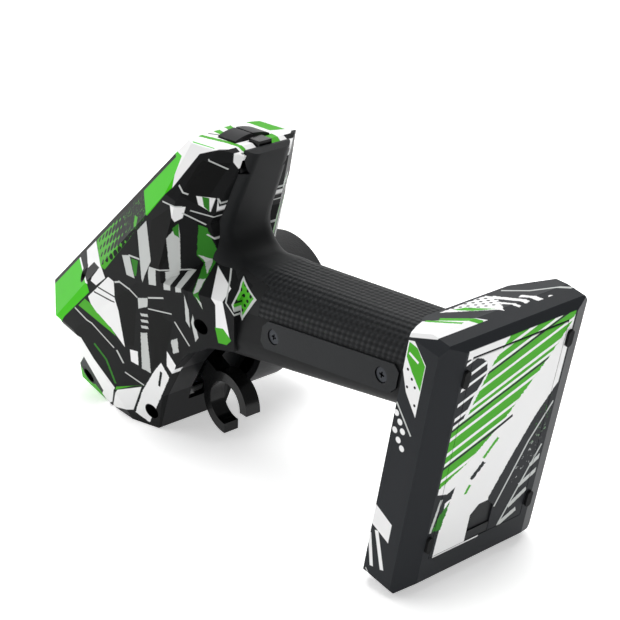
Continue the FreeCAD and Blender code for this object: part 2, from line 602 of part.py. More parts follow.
PANEL_START = slope_at(PANEL_REAR_X)
PANEL_END = slope_at(PANEL_FRONT_X)
KNOB_AT = [("steering_trim", 16.0, -5.4), ("throttle_trim", 29.0, -5.4), ("rate_knob", 44.0, -4.0)]


def panel_slab(grow):
    """Plate in panel coordinates, still without its arched top."""
    w = PANEL_HALF_W + grow
    return box(PANEL_START - grow, PANEL_END + grow, -w, w, -PANEL_T - grow, CROWN_H + 2.0)


def panel_pocket():
    return panel_frame(panel_slab(SEAT))


def make_panel():
    slab = panel_slab(0).common(crown_bar(0))
    x0 = PANEL_START
    for name, along, across in KNOB_AT:
        slab = slab.cut(rod(KNOB_R + MOVE, (x0 + along, across, -0.3), (x0 + along, across, 9)))
        slab = slab.cut(rod(1.2 + RUN, (x0 + along, across, -9), (x0 + along, across, 9)))
        knob = rod(KNOB_R, (x0 + along, across, 0.0), (x0 + along, across, KNOB_H))
        for k in range(16):
            turn = math.radians(22.5 * k)
            x, y = x0 + along + KNOB_R * math.cos(turn), across + KNOB_R * math.sin(turn)
            knob = knob.cut(rod(0.45, (x, y, -1), (x, y, KNOB_H + 1)))
        knob = knob.fuse(rod(1.2, (x0 + along, across, -5.0), (x0 + along, across, 0)))
        add(name, only_solid(panel_frame(knob)))
    slide_x, y = x0 + 62.0, -3.0
    slab = slab.cut(box(slide_x - 7.0, slide_x + 7.0, y - 2.4, y + 2.4, -0.2, 9))
    slab = slab.cut(box(slide_x - 5.0, slide_x + 5.0, y - 1.5, y + 1.5, -9, 9))
    switch = box(slide_x - 6.0, slide_x - 1.2, y - 2.0, y + 2.0, 0.0, 3.2)
    switch = switch.fuse(box(slide_x - 4.4, slide_x - 2.8, y - 1.2, y + 1.2, -4.0, 0))
    add("power_switch", only_solid(panel_frame(switch)))
    lights = []
    for across in (-3.0, 3.0):
        slab = slab.cut(rod(1.5 + SEAT, (x0 + 76.0, across, -9), (x0 + 76.0, across, 9)))
        dome = rod(1.5, (x0 + 76.0, across, -2.4), (x0 + 76.0, across, 1.4))
        lights.append(panel_frame(only_solid(dome.fuse(Part.makeSphere(1.5, V(x0 + 76.0, across, 1.4))))))
    add("led_lenses", Part.makeCompound(lights))
    add("control_panel", only_solid(panel_frame(slab)))
    board = box(x0 + 8, x0 + 76, -8.5, 8.5, -9.0, -7.6)
    for name, along, across in KNOB_AT:
        pot = box(x0 + along - 4, x0 + along + 4, across - 4, across + 4, -7.6, -4.4)
        board = board.fuse(pot.cut(rod(1.2 + RUN, (x0 + along, across, -9), (x0 + along, across, -3))))
    board = board.fuse(box(slide_x - 5, slide_x + 5, y - 3, y + 3, -7.6, -4.4))
    add("circuit_board", only_solid(panel_frame(board)))
    coil = rod(1.1, (x0 + 40, 0, -11.5), (x0 + 68, 0, -11.5))
    coil = coil.fuse(rod(1.8, (x0 + 36, 0, -11.5), (x0 + 41, 0, -11.5)))
    add("antenna", only_solid(panel_frame(coil.fuse(box(x0 + 38, x0 + 39.5, -0.8, 0.8, -11.5, -9.0)))))


# ---- steering wheel --------------------------------------------------------------------------------------
def across(radius, y0, y1):
    """Round bar on the steering axis."""
    return rod(radius, (WHEEL_X, y0, WHEEL_Z), (WHEEL_X, y1, WHEEL_Z))


def make_steering():
    outer_y = WHEEL_INNER_Y - WHEEL_W
    boss = across(BOSS_R, BOSS_Y, -12.0).cut(head_block(0)).cut(head_block(HEAD_WALL))
    boss = boss.cut(across(BOSS_R - 2.2, BOSS_Y + 2.0, -12.0)).fuse(
        across(6.0, BOSS_Y, -18.0).cut(head_block(0)))
    boss = boss.cut(across(STEER_SHAFT_R + RUN, -40, 0)).cut(nodes["right_shell"])
    add("steering_boss", only_solid(boss))
    hub = across(HUB_R, outer_y + 1.2, WHEEL_INNER_Y).fuse(
        across(WHEEL_RIM_R, outer_y, WHEEL_INNER_Y).cut(across(WHEEL_RIM_R - 1.8, outer_y, WHEEL_INNER_Y)))
    for k in range(SPOKES):
        spoke = box(0, WHEEL_RIM_R - 0.8, outer_y + 2.0, outer_y + 6.0, -1.6, 1.6)
        spoke.rotate(V(0, 0, 0), V(0, 1, 0), 360.0 * k / SPOKES)
        hub = hub.fuse(spoke.translated(V(WHEEL_X, 0, WHEEL_Z)))
    hub = hub.cut(across(STEER_SHAFT_R, outer_y + 3.2, 0)).cut(across(1.2, outer_y, outer_y + 5))
    add("wheel_hub", only_solid(hub))
    tyre = across(WHEEL_R, outer_y, WHEEL_INNER_Y).cut(across(WHEEL_RIM_R, outer_y - 1, WHEEL_INNER_Y + 1))
    for edge_y in (outer_y, WHEEL_INNER_Y):
        tyre = tyre.cut(bevel_ring(edge_y, 1 if edge_y == outer_y else -1))
    add("wheel_grip", only_solid(tyre))
    add("wheel_cap", across(4.2, outer_y - 0.1, outer_y + 1.2))
    shaft = across(STEER_SHAFT_R, outer_y + 3.2, -7.0)
    add("wheel_shaft", shaft)
    pot = box(WHEEL_X - 7, WHEEL_X + 7, -12.0, -6.0, WHEEL_Z - 7, WHEEL_Z + 7)
    pot = pot.cut(across(STEER_SHAFT_R + RUN, -20, -6.9))
    add("steering_pot", only_solid(pot))
    add("steering_spring", spring_ring((WHEEL_X, -13.6, WHEEL_Z), 5.2, 2.4))


def bevel_ring(y, inward):
    """Triangular ring that bevels the tyre's edge at y; inward points into the tyre."""
    r, b = WHEEL_R, 1.2
    corners = [V(WHEEL_X + r - b, y, WHEEL_Z), V(WHEEL_X + r + 1, y - inward * 0.01, WHEEL_Z),
               V(WHEEL_X + r + 1, y + inward * b, WHEEL_Z), V(WHEEL_X + r, y + inward * b, WHEEL_Z)]
    face = Part.Face(Part.makePolygon(corners + corners[:1]))
    return face.revolve(V(WHEEL_X, 0, WHEEL_Z), V(0, 1, 0), 360)


def spring_ring(middle, radius, length):
    """Torsion spring, closed up as a short sleeve of its outer size."""
    x, y, z = middle
    return ring(radius, radius - 1.0, (x, y - length / 2, z), (x, y + length / 2, z))


# ---- trigger ---------------------------------------------------------------------------------------------
def make_trigger():
    loop = ring(LOOP_R, LOOP_BORE_R, (LOOP_X, -LOOP_HALF_W, LOOP_Z), (LOOP_X, LOOP_HALF_W, LOOP_Z))
    reach = 3 * LOOP_R
    start, end = math.radians(MOUTH_FROM), math.radians(MOUTH_TO)
    mouth = [(LOOP_X, LOOP_Z)]
    for k in range(4):
        turn = start + (end - start) * k / 3
        mouth.append((LOOP_X + reach * math.cos(turn), LOOP_Z + reach * math.sin(turn)))
    loop = loop.cut(prism_xz(mouth, 20))
    arm = prism_xz([(PIVOT_X - 3.4, PIVOT_Z), (PIVOT_X + 3.4, PIVOT_Z), (LOOP_X - 1.0, LOOP_Z + 9.0),
                    (LOOP_X - 7.6, LOOP_Z + 3.2)], ARM_HALF_W)
    arm = arm.cut(rod(LOOP_BORE_R, (LOOP_X, -20, LOOP_Z), (LOOP_X, 20, LOOP_Z)))
    trigger = loop.fuse(arm).fuse(rod(4.2, (PIVOT_X, -ARM_HALF_W, PIVOT_Z), (PIVOT_X, ARM_HALF_W, PIVOT_Z)))
    trigger = trigger.cut(rod(TRIGGER_SHAFT_R, (PIVOT_X, -20, PIVOT_Z), (PIVOT_X, 20, PIVOT_Z)))
    add("trigger_loop", only_solid(trigger))
    add("trigger_shaft", rod(TRIGGER_SHAFT_R, (PIVOT_X, -5.5, PIVOT_Z), (PIVOT_X, 11.0, PIVOT_Z)))
    pot = box(PIVOT_X - 6, PIVOT_X + 6, 6.5, 12.0, PIVOT_Z - 5, PIVOT_Z + 7)
    pot = pot.cut(rod(TRIGGER_SHAFT_R + RUN, (PIVOT_X, 0, PIVOT_Z), (PIVOT_X, 11.1, PIVOT_Z)))
    add("trigger_pot", only_solid(pot))
    add("trigger_spring", spring_ring((PIVOT_X, 5.0, PIVOT_Z), 3.6, 2.4))


# ---- laying the transmitter on its side ------------------------------------------------------------------
def rest_angle():
    """Lean of the line that touches the foot's lower front edge and the foremost point of the head."""
    foot_x, foot_z = FOOT_FRONT, 4.0
    return max(math.atan2(x - foot_x, z - foot_z) for x, z in HEAD_OUTLINE)


def lay_down(shapes):
    """Turns the upright set onto that line and puts the origin under the middle of its bounding box."""
    c, s = math.cos(rest_angle()), math.sin(rest_angle())
    turn = FreeCAD.Matrix(-s, 0, -c, 0, 0, -1, 0, 0, -c, 0, s, 0, 0, 0, 0, 1)
    turned = {name: shape.transformed(turn) for name, shape in shapes.items()}
    bound = FreeCAD.BoundBox()
    for shape in turned.values():
        bound.add(shape.optimalBoundingBox(False, False))
    shift = V(-bound.Center.x, -bound.Center.y, -bound.ZMin)
    return {name: shape.translated(shift) for name, shape in turned.items()}, turn, shift


def main():
    make_foot()
    make_battery()
    make_housing()
    make_side_plates()
    make_hood()
    make_tail()
    make_panel()
    make_steering()
    make_trigger()
    os.makedirs("parts", exist_ok=True)
    laid, _, _ = lay_down(nodes)
    for name, shape in laid.items():
        shape.exportStep("parts/%s.step" % name)
    print(len(laid), "parts")


main()
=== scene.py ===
"""Looks of the pistol-grip transmitter: printed shells, textured grip, foam wheel, floor, camera and lights.

The printed pattern is drawn in the transmitter's upright frame, in millimetres: x forward (trigger side),
y left, z up, with the origin on the middle of the foot's underside.
"""
import math

import bpy
import numpy as np
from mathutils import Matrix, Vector


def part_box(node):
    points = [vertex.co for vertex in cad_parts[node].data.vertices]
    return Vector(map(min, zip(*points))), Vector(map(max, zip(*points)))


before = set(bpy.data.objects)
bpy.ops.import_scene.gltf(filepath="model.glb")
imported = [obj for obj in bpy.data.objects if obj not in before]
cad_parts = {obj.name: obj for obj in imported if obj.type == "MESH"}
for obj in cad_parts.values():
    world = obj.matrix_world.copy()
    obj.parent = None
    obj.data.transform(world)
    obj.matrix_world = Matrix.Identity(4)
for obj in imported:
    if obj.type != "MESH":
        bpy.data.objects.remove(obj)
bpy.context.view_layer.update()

MM = 0.001

# ---- sizes, in millimetres, upright frame ----------------------------------------------------------------
FOOT_EDGE, NOSE = (40.0, 4.0), (68.3, 137.0)   # (x, z) of the two lines that the transmitter lies on
WHEEL_AXIS = (35.5, 123.2)                     # (x, z) of the steering shaft
MIDDLE_Y = -8.35                               # place of the transmitter's middle plane in the loaded frame
PANEL_TILT = math.radians(36.4)
PANEL_DROP = 113.3                             # distance of the control panel's plane from the origin
TAIL_LOW, TAIL_HIGH = (-37.6, 101.0), (-33.4, 119.6)
BORDER = 1.5                                   # black edge round the printed top band
BORDER_REAR = -27.5                            # x where that edge starts
SCREW_HOLES = [(15.8, 97.6), (58.0, 116.8), (62.5, 146.5), (25.0, 148.5)]   # (x, z) of the sunk screws
SCREW_HOLE_R = 2.5
FLAT_HALF_W, FLAT_REAR, FLAT_FRONT = 18.7, -37.4, 28.9   # edges of the print under the foot
FLAT_DEPTH = 0.08                              # higher than this is the foot's bevel
REAR_FACE = 36.6                               # distance of the foot's leaning rear face
GRIP_LEAN, GRIP_START, GRIP_ROUND = 0.3106, -19.1, 13.0   # the grip's middle line, and its mean radius
DIAMOND_L, DIAMOND_W = 1.9, 1.5                # along the grip and round it
DIAMONDS_FADE, DIAMONDS_FULL = 86.0, 78.0      # heights between which the diamonds come up

REST_LEAN = math.atan2(NOSE[0] - FOOT_EDGE[0], NOSE[1] - FOOT_EDGE[1])
COS, SIN = math.cos(REST_LEAN), math.sin(REST_LEAN)
low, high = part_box("wheel_shaft")
mid = (low + high) / 2 / MM
SHIFT_X = mid.x + SIN * WHEEL_AXIS[0] + COS * WHEEL_AXIS[1]
SHIFT_Z = mid.z + COS * WHEEL_AXIS[0] - SIN * WHEEL_AXIS[1]

# ---- colours, sRGB ---------------------------------------------------------------------------------------
INK_BLACK = "070808"
INK_CHARCOAL = "121314"
INK_GREY = "26282B"
INK_WHITE = "ECECEC"
INK_PALE = "BFC2C0"
INK_GREEN = "48A626"
INK_BRIGHT = "3FBE0E"
INK_LEAF = "2F7A22"


def linear(code):
    """Linear RGBA of an sRGB hex code."""
    parts = [int(code[i:i + 2], 16) / 255.0 for i in (0, 2, 4)]
    return (*[p / 12.92 if p <= 0.04045 else ((p + 0.055) / 1.055) ** 2.4 for p in parts], 1.0)


COLOUR_MIX = {"data_type": "RGBA", "out": 2}


# ---- node helpers ----------------------------------------------------------------------------------------
class Graph:
    """A material's node tree with short ways to add nodes to it."""

    def __init__(self, name):
        self.material = bpy.data.materials.new(name)
        self.material.use_nodes = True
        self.tree = self.material.node_tree
        self.shader = self.tree.nodes["Principled BSDF"]
        self.place = None

    def node(self, kind, *values, out=0, named=(), **settings):
        """Adds a node and returns one of its outputs.

        The kind is the node's name, with its operation after a dot where it has one.  Numbers or sockets fill
        its inputs in order, or by name or place where they are named.
        """
        kind, _, operation = kind.partition(".")
        made = self.tree.nodes.new("ShaderNode" + kind)
        if operation:
            made.operation = operation
        for key, value in settings.items():
            setattr(made, key, value)
        for key, value in [*enumerate(values), *dict(named).items()]:
            if isinstance(value, bpy.types.NodeSocket):
                self.tree.links.new(value, made.inputs[key])
            else:
                made.inputs[key].default_value = value
        return made.outputs[out]

    def upright(self):
        """Sockets of x, y and z in millimetres in the upright frame."""
        if self.place is None:
            where = self.node("TexCoord", out="Object")
            rows = (((-SIN / MM, 0, -COS / MM), SIN * SHIFT_X + COS * SHIFT_Z),
                    ((0, -1 / MM, 0), MIDDLE_Y),
                    ((-COS / MM, 0, SIN / MM), COS * SHIFT_X - SIN * SHIFT_Z))
            self.place = [
                self.node("Math.ADD", self.node("VectorMath.DOT_PRODUCT", where, row, out="Value"), shift)
                for row, shift in rows]
        return self.place

    def set(self, **inputs):
        """Fills the shader's inputs, whose names are written with underscores."""
        for key, value in inputs.items():
            socket = self.shader.inputs[key.replace("_", " ")]
            if isinstance(value, bpy.types.NodeSocket):
                self.tree.links.new(value, socket)
            else:
                socket.default_value = value


def band(a, b, width):
    """Corners of a straight stripe between two points."""
    (ax, ay), (bx, by) = a, b
    length = math.hypot(bx - ax, by - ay)
    nx, ny = -(by - ay) / length * width / 2, (bx - ax) / length * width / 2
    return [(ax + nx, ay + ny), (bx + nx, by + ny), (bx - nx, by - ny), (ax - nx, ay - ny)]


DOT_GRID_SHIFT = 50.0   # whole cells added, which keeps the place in the grid above zero


class Print:
    """A printed pattern in one plane: a ground colour, then layers of ink, each one over the last."""

    def __init__(self, graph, u, v, ground):
        self.g, self.u, self.v = graph, u, v
        self.here = graph.node("CombineXYZ", u, v, 1.0)
        self.colour = linear(ground)
        self.brush = graph.node("Math.SUBTRACT", self.blots(1.1, 3.0, 0.7), 0.5)

    def blots(self, scale, detail, rough):
        """Noise in the plane of the print; the scale is per millimetre."""
        flat = self.g.node("CombineXYZ", self.u, self.v, 0.0)
        settings = {"Vector": flat, "Scale": scale, "Detail": detail, "Roughness": rough}
        return self.g.node("TexNoise", named=settings)

    def inside(self, corners, ragged=0.0):
        """1 inside an outline.

        Each edge gives a distance.  Edges that meet at an inward corner are joined by their greatest
        distance, then the least distance of all is cut off at zero.
        """
        count = len(corners)
        ring = [(corners[i - 1], corners[i], corners[(i + 1) % count]) for i in range(count)]
        turns = [(b[0] - a[0]) * (c[1] - b[1]) - (b[1] - a[1]) * (c[0] - b[0]) for a, b, c in ring]
        area = sum(a[0] * b[1] - b[0] * a[1] for a, b in zip(corners, corners[1:] + corners[:1]))
        way = 1.0 if area > 0 else -1.0
        outward = [i for i in range(count) if turns[i] * way > 0]
        least, run = None, None
        for step in range(count):
            i = (outward[0] + step) % count
            (ax, ay), (bx, by) = corners[i], corners[(i + 1) % count]
            length = math.hypot(bx - ax, by - ay) * way
            nx, ny = -(by - ay) / length, (bx - ax) / length
            row = (nx, ny, -(nx * ax + ny * ay))
            edge = self.g.node("VectorMath.DOT_PRODUCT", self.here, row, out="Value")
            run = edge if run is None else self.g.node("Math.MAXIMUM", run, edge)
            if (i + 1) % count in outward:
                least = run if least is None else self.g.node("Math.MINIMUM", least, run)
                run = None
        if ragged:
            least = self.g.node("Math.MULTIPLY_ADD", self.brush, ragged, least)
        return self.sharp(least)

    def sharp(self, distance):
        """Turns a distance in millimetres into a mask with a 0.15 mm soft edge."""
        return self.g.node("Math.MULTIPLY_ADD", distance, 7.0, 0.5, use_clamp=True)

    def ink(self, code, mask):
        """Lays a colour over the layers so far, where the mask is 1."""
        self.colour = self.g.node("Mix", named={0: mask, 6: self.colour, 7: linear(code)}, **COLOUR_MIX)

    def shape(self, code, corners, ragged=0.0):
        """Lays down an outline, with edges that wander by about the ragged distance."""
        self.ink(code, self.inside(corners, ragged))

    def line(self, code, a, b, width, ragged=0.0):
        """Lays down a straight stripe."""
        self.shape(code, band(a, b, width), ragged)

    def dots(self, pitch, radius, angle=0.0):
        """Mask of round dots on a square grid; the radius may be a socket."""
        g, c, s = self.g, math.cos(angle) / pitch, math.sin(angle) / pitch
        squares = []
        for row in ((c, s, DOT_GRID_SHIFT), (-s, c, DOT_GRID_SHIFT)):
            cell = g.node("Math.FRACT", g.node("VectorMath.DOT_PRODUCT", self.here, row, out="Value"))
            off = g.node("Math.SUBTRACT", cell, 0.5)
            squares.append(g.node("Math.MULTIPLY", off, off))
        away = g.node("Math.SQRT", g.node("Math.ADD", *squares))
        return self.sharp(g.node("Math.MULTIPLY", g.node("Math.SUBTRACT", radius, away), pitch))

    def disc(self, code, centre, radius):
        """Lays down a round dot."""
        g = self.g
        away = g.node("VectorMath.DISTANCE", self.here, (*centre, 1.0), out="Value")
        self.ink(code, self.sharp(g.node("Math.SUBTRACT", radius, away)))


def both(graph, *masks):
    """Mask of the places that are inside every mask."""
    made = masks[0]
    for mask in masks[1:]:
        made = graph.node("Math.MULTIPLY", made, mask)
    return made


# ---- printed parts ---------------------------------------------------------------------------------------
def grain(graph, scale, depth_mm, strength):
    """Fine surface texture: the height is noise of the place, and its full height is the depth given."""
    where = graph.node("TexCoord", out="Object")
    height = graph.node("TexNoise", named={"Vector": where, "Scale": scale, "Detail": 2.0, "Roughness": 0.5})
    raised = {"Strength": strength, "Distance": depth_mm * MM, "Height": height}
    graph.set(Normal=graph.node("Bump", named=raised))


def film_finish(graph, colour):
    """Printed film on moulded ABS: slightly wavy, with a weak satin sheen."""
    graph.set(Base_Color=colour, Roughness=0.46, Specular_IOR_Level=0.07)
    grain(graph, 160.0, 0.03, 0.4)


def dotted_triangle(p):
    """Green triangle with black dots and a pale edge, where the head meets the grip."""
    core = p.inside([(-3.2, 88.4), (-1.6, 81.6), (5.8, 84.9)])
    p.shape(INK_PALE, [(-3.9, 89.4), (-1.9, 80.4), (7.3, 84.9)])
    p.ink(INK_GREEN, core)
    p.ink(INK_BLACK, both(p.g, core, p.dots(2.0, 0.26, 0.4)))


def shell_print():
    """Pattern of both head shells, drawn as seen from the side."""
    g = Graph("shell_print")
    x, y, z = g.upright()
    p = Print(g, x, z, INK_CHARCOAL)
    below = (math.sin(PANEL_TILT), -math.cos(PANEL_TILT), PANEL_DROP)
    depth = g.node("VectorMath.DOT_PRODUCT", p.here, below, out="Value")   # under the control panel's plane
    # darker patches that break up the side
    for corners in (
        [(-33, 106.5), (-22, 108.5), (-19, 104.5), (-34, 99.8)],
        [(-17, 111), (-9.5, 118), (9, 116.5), (2, 111.3), (-10, 108.5)],
        [(17.5, 130.2), (38, 126), (36, 122.5), (17, 120.6)],
        [(20, 116.5), (44, 116), (36, 112), (16, 111)],
        [(-15, 105.5), (2, 104.3), (12, 102), (0, 102), (-15, 103.5)],
    ):
        p.shape(INK_BLACK, corners, 0.5)
    # upper side: bars and combs
    p.shape(INK_PALE, [(-8.2, 120.2), (-3.4, 123.4), (10.8, 118.2), (2.4, 115.7)], 0.3)
    p.shape(INK_PALE, [(5.7, 125.3), (7.3, 128.5), (12.1, 125.3), (11.3, 121.6)], 0.3)
    p.line(INK_PALE, (4.5, 120.7), (5.8, 125.6), 0.5)
    p.shape(INK_LEAF, [(5.3, 121.2), (6.2, 124.4), (10.6, 121.9), (10.2, 121.0)], 0.4)
    for low_z, high_z, shift in ((113.3, 116.2, 1.6), (108.2, 110.8, 0.7), (104.4, 106.6, -0.6)):
        p.shape(INK_PALE, [(2.0 + shift, low_z), (3.0 + shift, high_z), (8.8 + shift, high_z - 0.3),
                           (7.9 + shift, low_z)], 0.4)
    p.line(INK_PALE, (1.4, 104.4), (4.6, 116.0), 0.4)
    p.shape(INK_PALE, [(-12.5, 108.6), (-7.5, 110.7), (3.3, 110.0), (2.8, 108.0), (-9.4, 108.3)], 0.3)
    p.shape(INK_LEAF, [(-12.8, 108.6), (-11.0, 109.7), (-9.0, 109.3), (-8.2, 108.4)], 0.4)
    p.shape(INK_WHITE, [(-17.9, 111.4), (-13.2, 109.3), (-14.8, 107.9), (-18.5, 107.4)])
    p.line(INK_PALE, (-17.2, 114.6), (-18.4, 108.0), 0.4)
    p.line(INK_PALE, (-24.0, 110.4), (-22.6, 107.0), 0.5)
    p.line(INK_PALE, (-17.5, 106.6), (-15.7, 100.6), 0.4)
    p.line(INK_PALE, (16.0, 128.5), (15.8, 123.0), 0.5)
    p.line(INK_PALE, (15.8, 123.4), (17.4, 120.4), 0.5)
    p.line(INK_PALE, (17.3, 130.2), (16.0, 128.0), 0.5)
    # white front with its green wedge
    p.shape(INK_WHITE, [(17.3, 133.4), (28.4, 141.4), (31.2, 138.4), (34.0, 131.2), (38.6, 126.1),
                        (26.0, 127.9), (17.3, 130.6)], 0.3)
    p.line(INK_CHARCOAL, (21.6, 128.0), (23.0, 137.4), 0.45)
    p.line(INK_CHARCOAL, (23.6, 129.2), (25.4, 139.0), 0.45)
    p.shape(INK_GREEN, [(30.0, 142.8), (33.7, 145.4), (33.6, 138.5), (36.2, 129.3), (34.6, 130.6),
                        (31.4, 135.6), (30.0, 139.6)])
    p.line(INK_PALE, (35.4, 147.0), (36.4, 138.4), 0.5)
    p.line(INK_PALE, (36.4, 138.6), (41.2, 130.4), 0.5)
    p.line(INK_PALE, (41.5, 129.4), (45.2, 127.0), 0.7)
    p.line(INK_LEAF, (43.8, 138.2), (47.6, 133.6), 0.8, 0.5)
    p.line(INK_LEAF, (47.4, 133.8), (55.0, 130.6), 0.8, 0.5)
    # nose
    p.shape(INK_WHITE, [(44.2, 153.5), (57.0, 153.0), (66.0, 141.2), (69.0, 138.5), (66.0, 135.4),
                        (57.0, 131.0), (50.0, 138.8), (44.4, 143.4)])
    p.shape(INK_GREY, [(53.6, 145.4), (60.4, 150.6), (66.4, 141.0), (64.0, 139.4)])
    p.shape(INK_GREEN, [(60.0, 152.5), (70.0, 154.0), (69.0, 139.8), (66.0, 141.0)])
    p.disc(INK_BLACK, (62.3, 146.4), 3.2)
    # lower front: white fringe over the finger opening
    p.shape(INK_WHITE, [(50.6, 120.4), (61.6, 124.0), (68.5, 136.0), (57.2, 130.0)])
    p.shape(INK_GREEN, [(50.4, 121.0), (52.2, 123.8), (57.6, 130.8), (56.2, 130.4)])
    p.shape(INK_WHITE, [(36.4, 113.0), (42.0, 115.4), (51.8, 120.0), (62.0, 123.2), (63.0, 117.8),
                        (54.0, 114.4), (41.0, 109.6)], 0.7)
    p.line(INK_BLACK, (40.5, 112.6), (46.5, 113.6), 0.8, 0.6)
    p.shape(INK_WHITE, [(31.4, 110.2), (37.0, 110.4), (39.2, 108.2), (35.0, 107.0)], 0.4)
    p.shape(INK_WHITE, [(37.6, 121.2), (38.4, 124.2), (42.8, 124.0), (42.8, 121.2)], 0.3)
    p.shape(INK_PALE, [(28.6, 117.4), (29.8, 119.8), (43.2, 119.9), (43.2, 116.5)], 0.9)
    p.shape(INK_PALE, [(15.6, 116.6), (17.4, 120.2), (21.2, 120.2), (18.8, 116.8)], 0.4)
    for start in (22.0, 24.2, 26.4):
        p.line(INK_PALE, (start, 116.8), (start + 1.0, 119.4), 0.9, 0.5)
    p.shape(INK_BLACK, [(19.0, 115.8), (42.0, 115.4), (34.0, 110.8), (20.0, 107.6)], 0.5)
    p.shape(INK_PALE, [(24.6, 106.2), (26.6, 108.6), (31.0, 107.8), (29.4, 105.8)], 0.9)
    p.line(INK_PALE, (15.4, 116.4), (12.6, 110.8), 0.5)
    p.line(INK_PALE, (19.4, 116.6), (16.8, 108.0), 0.4)
    p.line(INK_PALE, (48.4, 126.6), (49.4, 119.4), 0.5)
    p.shape(INK_PALE, [(7.5, 103.3), (16.6, 102.9), (18.2, 101.5), (12.0, 101.8)], 0.3)
    p.shape(INK_PALE, [(13.0, 100.4), (20.2, 98.5), (22.2, 99.6), (16.0, 101.0)], 0.3)
    p.line(INK_PALE, (19.0, 107.0), (25.0, 101.8), 0.5)
    # green brushed strip and the strips along the neck
    p.shape(INK_LEAF, [(-13.2, 105.1), (-12.5, 103.5), (1.4, 99.7), (9.4, 96.7), (5.9, 99.9), (-3.1, 105.2)],
            0.6)
    p.shape(INK_PALE, [(-3.2, 104.9), (-0.8, 103.4), (0.6, 100.4), (-2.2, 101.8)], 0.7)
    p.shape(INK_PALE, [(2.4, 101.8), (5.4, 99.8), (4.4, 98.8), (1.6, 99.8)], 0.7)
    p.shape(INK_PALE, [(6.2, 99.2), (9.4, 96.8), (7.2, 97.4)], 0.4)
    p.shape(INK_WHITE, [(-22.4, 105.6), (-22.4, 102.2), (-17.8, 103.0), (-19.7, 105.2)])
    p.shape(INK_LEAF, [(-22.4, 104.6), (-22.2, 103.3), (-17.8, 103.2), (-19.2, 104.2)])
    p.shape(INK_WHITE, [(-22.1, 101.8), (-17.8, 101.4), (-6.4, 99.3), (-10.6, 102.3)])
    p.shape(INK_LEAF, [(-18.4, 101.7), (-17.6, 101.2), (-6.2, 98.6), (-9.8, 101.6)], 0.4)
    p.line(INK_PALE, (-22.4, 101.8), (-18.7, 100.5), 0.4)
    p.line(INK_PALE, (-16.4, 108.0), (-13.5, 103.7), 0.4)
    p.shape(INK_WHITE, [(-38.6, 99.3), (-34.4, 99.4), (-28.8, 96.6), (-36.4, 96.8)])
    p.line(INK_LEAF, (-27.6, 98.6), (-22.8, 96.4), 0.8)
    p.line(INK_PALE, (-34.2, 104.0), (-32.0, 100.2), 0.4)
    # white strip with a green end, over the grip
    p.shape(INK_WHITE, [(-2.0, 99.3), (0.0, 90.5), (15.5, 87.4), (13.7, 92.3), (5.4, 92.4)])
    p.shape(INK_GREEN, [(13.3, 92.6), (12.3, 89.8), (15.0, 87.0), (17.4, 88.6), (18.2, 91.5)])
    p.line(INK_PALE, (-10.4, 103.5), (-1.0, 92.5), 0.45)
    p.line(INK_PALE, (-1.0, 92.6), (7.0, 84.6), 0.45)
    dotted_triangle(p)
    # top band, from the front end to the thumb panel
    above = p.inside([(-45, 98.5), (-22.4, 112.2), (-9.6, 120.4), (10.0, 130.9), (18.4, 134.8), (43.5, 151.3),
                      (60, 190), (-60, 150)])
    p.ink(INK_CHARCOAL, above)
    fade = g.node("MapRange", x, 16.0, 1.0, 0.22, 0.62)
    zone = p.inside([(0.5, 126.0), (15.8, 133.6), (16.6, 151.0), (0.5, 139.0)], 0.5)
    p.ink(INK_GREEN, both(g, above, zone))
    p.ink(INK_CHARCOAL, both(g, above, zone, p.dots(2.7, fade, 0.75)))
    flecks = p.sharp(g.node("Math.SUBTRACT", p.blots(0.9, 4.0, 0.75), 0.62))
    speckled = p.inside([(-11.0, 119.0), (0.0, 125.0), (1.0, 139.0), (-10.5, 131.5)])
    p.ink(INK_GREEN, both(g, above, speckled, flecks))
    p.shape(INK_GREEN, [(-5.8, 126.2), (-4.6, 129.0), (-3.2, 125.6), (-4.4, 124.2)], 0.7)
    p.shape(INK_WHITE, [(15.8, 137.4), (16.9, 151.6), (22.5, 156.4), (22.9, 138.4), (18.4, 134.7)])
    p.shape(INK_BLACK, [(16.6, 138.0), (19.0, 144.4), (22.4, 147.0), (24.6, 149.0), (25.0, 141.6),
                        (21.6, 140.8)], 0.3)
    p.shape(INK_BRIGHT, [(24.6, 143.0), (27.0, 162.0), (50.0, 180.0), (45.0, 153.4), (41.0, 151.4),
                         (26.8, 141.2)])
    p.line(INK_WHITE, (24.4, 142.6), (26.9, 160.0), 0.7)
    p.shape(INK_WHITE, [(-38.0, 101.5), (-34.0, 107.8), (-22.3, 112.3), (-29.8, 115.0), (-28.2, 120.6),
                        (-36.0, 126.0)])
    p.shape(INK_BRIGHT, [(-30.0, 114.8), (-28.2, 120.6), (-10.6, 133.0), (-9.8, 120.2), (-22.3, 112.4)])
    border = p.sharp(g.node("Math.SUBTRACT", BORDER, depth))
    p.ink(INK_BLACK, both(g, border, p.sharp(g.node("Math.SUBTRACT", x, BORDER_REAR))))
    for centre in SCREW_HOLES:
        p.disc(INK_BLACK, centre, SCREW_HOLE_R)
    film_finish(g, p.colour)
    return g.material


